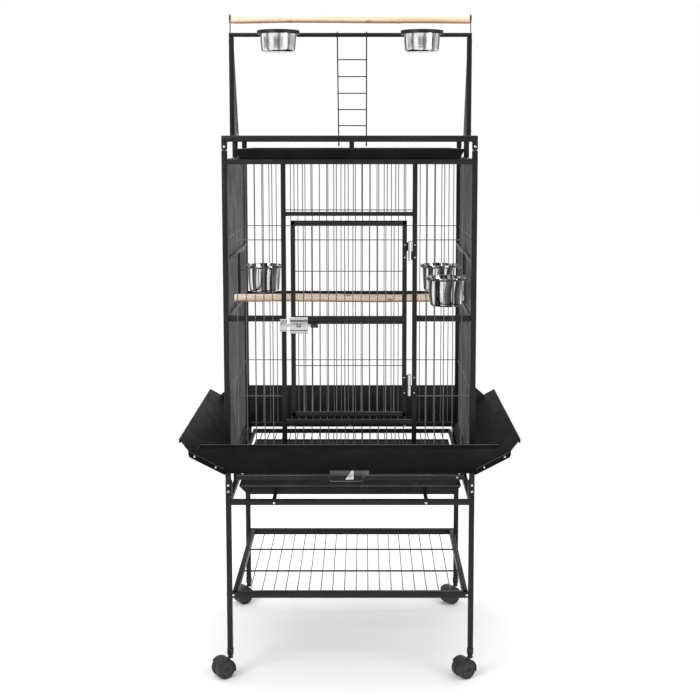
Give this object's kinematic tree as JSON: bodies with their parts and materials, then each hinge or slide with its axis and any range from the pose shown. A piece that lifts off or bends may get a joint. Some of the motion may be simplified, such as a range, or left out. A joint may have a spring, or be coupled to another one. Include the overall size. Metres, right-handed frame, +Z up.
{
  "type": "bird cage on stand",
  "caption": "Play-top wire bird cage with a hinged door, feeder cups, seed guards and slide-out trays on a wheeled stand with a shelf.",
  "frame": {"origin": "on the floor under the middle of the cage", "axes": "+Z up, the door faces -Y, +X to the viewer's right"},
  "size_m": [0.8674, 0.7824, 1.733],
  "materials": {
    "black_steel": "fine-textured black powder coat",
    "black_sheet": "satin black powder coat on sheet",
    "stainless": "polished stainless",
    "zinc_plate": "zinc plated",
    "natural_wood": "bare wood with knots",
    "black_plastic": "moulded nylon",
    "caster_tyre": "matt"
  },
  "bodies": {
    "cage": {"front_panel": "black_steel", "back_panel": "black_steel", "left_panel": "black_steel", "right_panel": "black_steel", "roof_grille": "black_steel", "hinge_pin_upper": "zinc_plate", "hinge_pin_lower": "zinc_plate", "latch_keeper": "zinc_plate", "playtop_frame": "black_steel", "playtop_side_left": "black_steel", "playtop_side_right": "black_steel", "perch_bracket_left": "black_steel", "perch_bracket_right": "black_steel", "top_cup_ring_left": "black_steel", "top_cup_ring_right": "black_steel", "stand_side_rail_left": "black_steel", "stand_side_rail_right": "black_steel", "tray_runner_left": "black_steel", "tray_runner_right": "black_steel", "playtop_crossbar": "black_steel", "playtop_perch": "natural_wood", "inner_perch": "natural_wood", "seed_guard_front": "black_sheet", "seed_guard_back": "black_sheet", "seed_guard_left": "black_sheet", "seed_guard_right": "black_sheet", "stand_front_frame": "black_steel", "stand_back_frame": "black_steel", "shelf": "black_steel", "caster_socket_front_left": "black_plastic", "caster_socket_front_right": "black_plastic", "caster_socket_back_left": "black_plastic", "caster_socket_back_right": "black_plastic"},
    "door": {"door": "black_steel", "latch_plate": "zinc_plate"},
    "latch_bolt": {"latch_bolt": "zinc_plate"},
    "grate": {"grate": "black_steel", "grate_handle": "black_steel"},
    "grate_latch": {"grate_latch": "zinc_plate"},
    "debris_tray": {"debris_tray": "black_sheet"},
    "top_tray": {"top_tray": "black_sheet"},
    "ladder": {"ladder": "black_steel"},
    "feeder_door_left_back": {"feeder_door_left_back": "black_steel"},
    "feeder_cup_left_back": {"feeder_cup_left_back": "stainless"},
    "feeder_door_right_front": {"feeder_door_right_front": "black_steel"},
    "feeder_cup_right_front": {"feeder_cup_right_front": "stainless"},
    "feeder_door_right_back": {"feeder_door_right_back": "black_steel"},
    "feeder_cup_right_back": {"feeder_cup_right_back": "stainless"},
    "top_cup_left": {"top_cup_left": "stainless"},
    "top_cup_right": {"top_cup_right": "stainless"},
    "caster_body_front_left": {"caster_body_front_left": "black_plastic"},
    "caster_wheels_front_left": {"caster_wheels_front_left": "caster_tyre"},
    "caster_body_front_right": {"caster_body_front_right": "black_plastic"},
    "caster_wheels_front_right": {"caster_wheels_front_right": "caster_tyre"},
    "caster_body_back_left": {"caster_body_back_left": "black_plastic"},
    "caster_wheels_back_left": {"caster_wheels_back_left": "caster_tyre"},
    "caster_body_back_right": {"caster_body_back_right": "black_plastic"},
    "caster_wheels_back_right": {"caster_wheels_back_right": "caster_tyre"}
  },
  "joints": [
    {"name": "door_hinge", "type": "hinge", "parent": "cage", "child": "door", "pos_m": [0.152, -0.283, 0.947], "axis": [0, 0, 1], "range_deg": [0, 170]},
    {"name": "latch_slide", "type": "slide", "parent": "door", "child": "latch_bolt", "axis": [-1, 0, 0], "range_m": [-0.012, 0.0065]},
    {"name": "grate_slide", "type": "slide", "parent": "cage", "child": "grate", "axis": [0, -1, 0], "range_m": [0, 0.45]},
    {"name": "grate_latch_turn", "type": "hinge", "parent": "grate", "child": "grate_latch", "pos_m": [0, -0.2822, 0.536], "axis": [0, 1, 0], "range_deg": [0, 90]},
    {"name": "debris_tray_slide", "type": "slide", "parent": "cage", "child": "debris_tray", "axis": [0, -1, 0], "range_m": [0, 0.45]},
    {"name": "top_tray_slide", "type": "slide", "parent": "cage", "child": "top_tray", "axis": [0, -1, 0], "range_m": [0, 0.45]},
    {"name": "ladder_swing", "type": "hinge", "parent": "cage", "child": "ladder", "pos_m": [0.004, -0.062, 1.6789], "axis": [1, 0, 0], "range_deg": [0, 60]},
    {"name": "feeder_door_left_back_hinge", "type": "hinge", "parent": "cage", "child": "feeder_door_left_back", "pos_m": [-0.318, 0.057, 1.0235], "axis": [0, 0, 1], "range_deg": [0, 90]},
    {"name": "feeder_cup_left_back_lift", "type": "slide", "parent": "feeder_door_left_back", "child": "feeder_cup_left_back", "axis": [0, 0, 1], "range_m": [0, 0.085]},
    {"name": "feeder_door_right_front_hinge", "type": "hinge", "parent": "cage", "child": "feeder_door_right_front", "pos_m": [0.318, -0.057, 1.0235], "axis": [0, 0, 1], "range_deg": [0, 90]},
    {"name": "feeder_cup_right_front_lift", "type": "slide", "parent": "feeder_door_right_front", "child": "feeder_cup_right_front", "axis": [0, 0, 1], "range_m": [0, 0.085]},
    {"name": "feeder_door_right_back_hinge", "type": "hinge", "parent": "cage", "child": "feeder_door_right_back", "pos_m": [0.318, 0.057, 1.0235], "axis": [0, 0, -1], "range_deg": [0, 90]},
    {"name": "feeder_cup_right_back_lift", "type": "slide", "parent": "feeder_door_right_back", "child": "feeder_cup_right_back", "axis": [0, 0, 1], "range_m": [0, 0.085]},
    {"name": "top_cup_left_lift", "type": "slide", "parent": "cage", "child": "top_cup_left", "axis": [0, 0, 1], "range_m": [0, 0.09]},
    {"name": "top_cup_right_lift", "type": "slide", "parent": "cage", "child": "top_cup_right", "axis": [0, 0, 1], "range_m": [0, 0.09]},
    {"name": "caster_front_left_swivel", "type": "hinge", "parent": "cage", "child": "caster_body_front_left", "pos_m": [-0.3155, -0.273, 0.05], "axis": [0, 0, 1], "continuous": true},
    {"name": "caster_front_left_roll", "type": "hinge", "parent": "caster_body_front_left", "child": "caster_wheels_front_left", "pos_m": [-0.33374, -0.2853, 0.025], "axis": [0.5592, -0.829, 0], "continuous": true},
    {"name": "caster_front_right_swivel", "type": "hinge", "parent": "cage", "child": "caster_body_front_right", "pos_m": [0.3155, -0.273, 0.05], "axis": [0, 0, 1], "continuous": true},
    {"name": "caster_front_right_roll", "type": "hinge", "parent": "caster_body_front_right", "child": "caster_wheels_front_right", "pos_m": [0.29726, -0.2853, 0.025], "axis": [0.5592, -0.829, 0], "continuous": true},
    {"name": "caster_back_left_swivel", "type": "hinge", "parent": "cage", "child": "caster_body_back_left", "pos_m": [-0.3155, 0.273, 0.05], "axis": [0, 0, 1], "continuous": true},
    {"name": "caster_back_left_roll", "type": "hinge", "parent": "caster_body_back_left", "child": "caster_wheels_back_left", "pos_m": [-0.33374, 0.2607, 0.025], "axis": [0.5592, -0.829, 0], "continuous": true},
    {"name": "caster_back_right_swivel", "type": "hinge", "parent": "cage", "child": "caster_body_back_right", "pos_m": [0.3155, 0.273, 0.05], "axis": [0, 0, 1], "continuous": true},
    {"name": "caster_back_right_roll", "type": "hinge", "parent": "caster_body_back_right", "child": "caster_wheels_back_right", "pos_m": [0.29726, 0.2607, 0.025], "axis": [0.5592, -0.829, 0], "continuous": true}
  ]
}
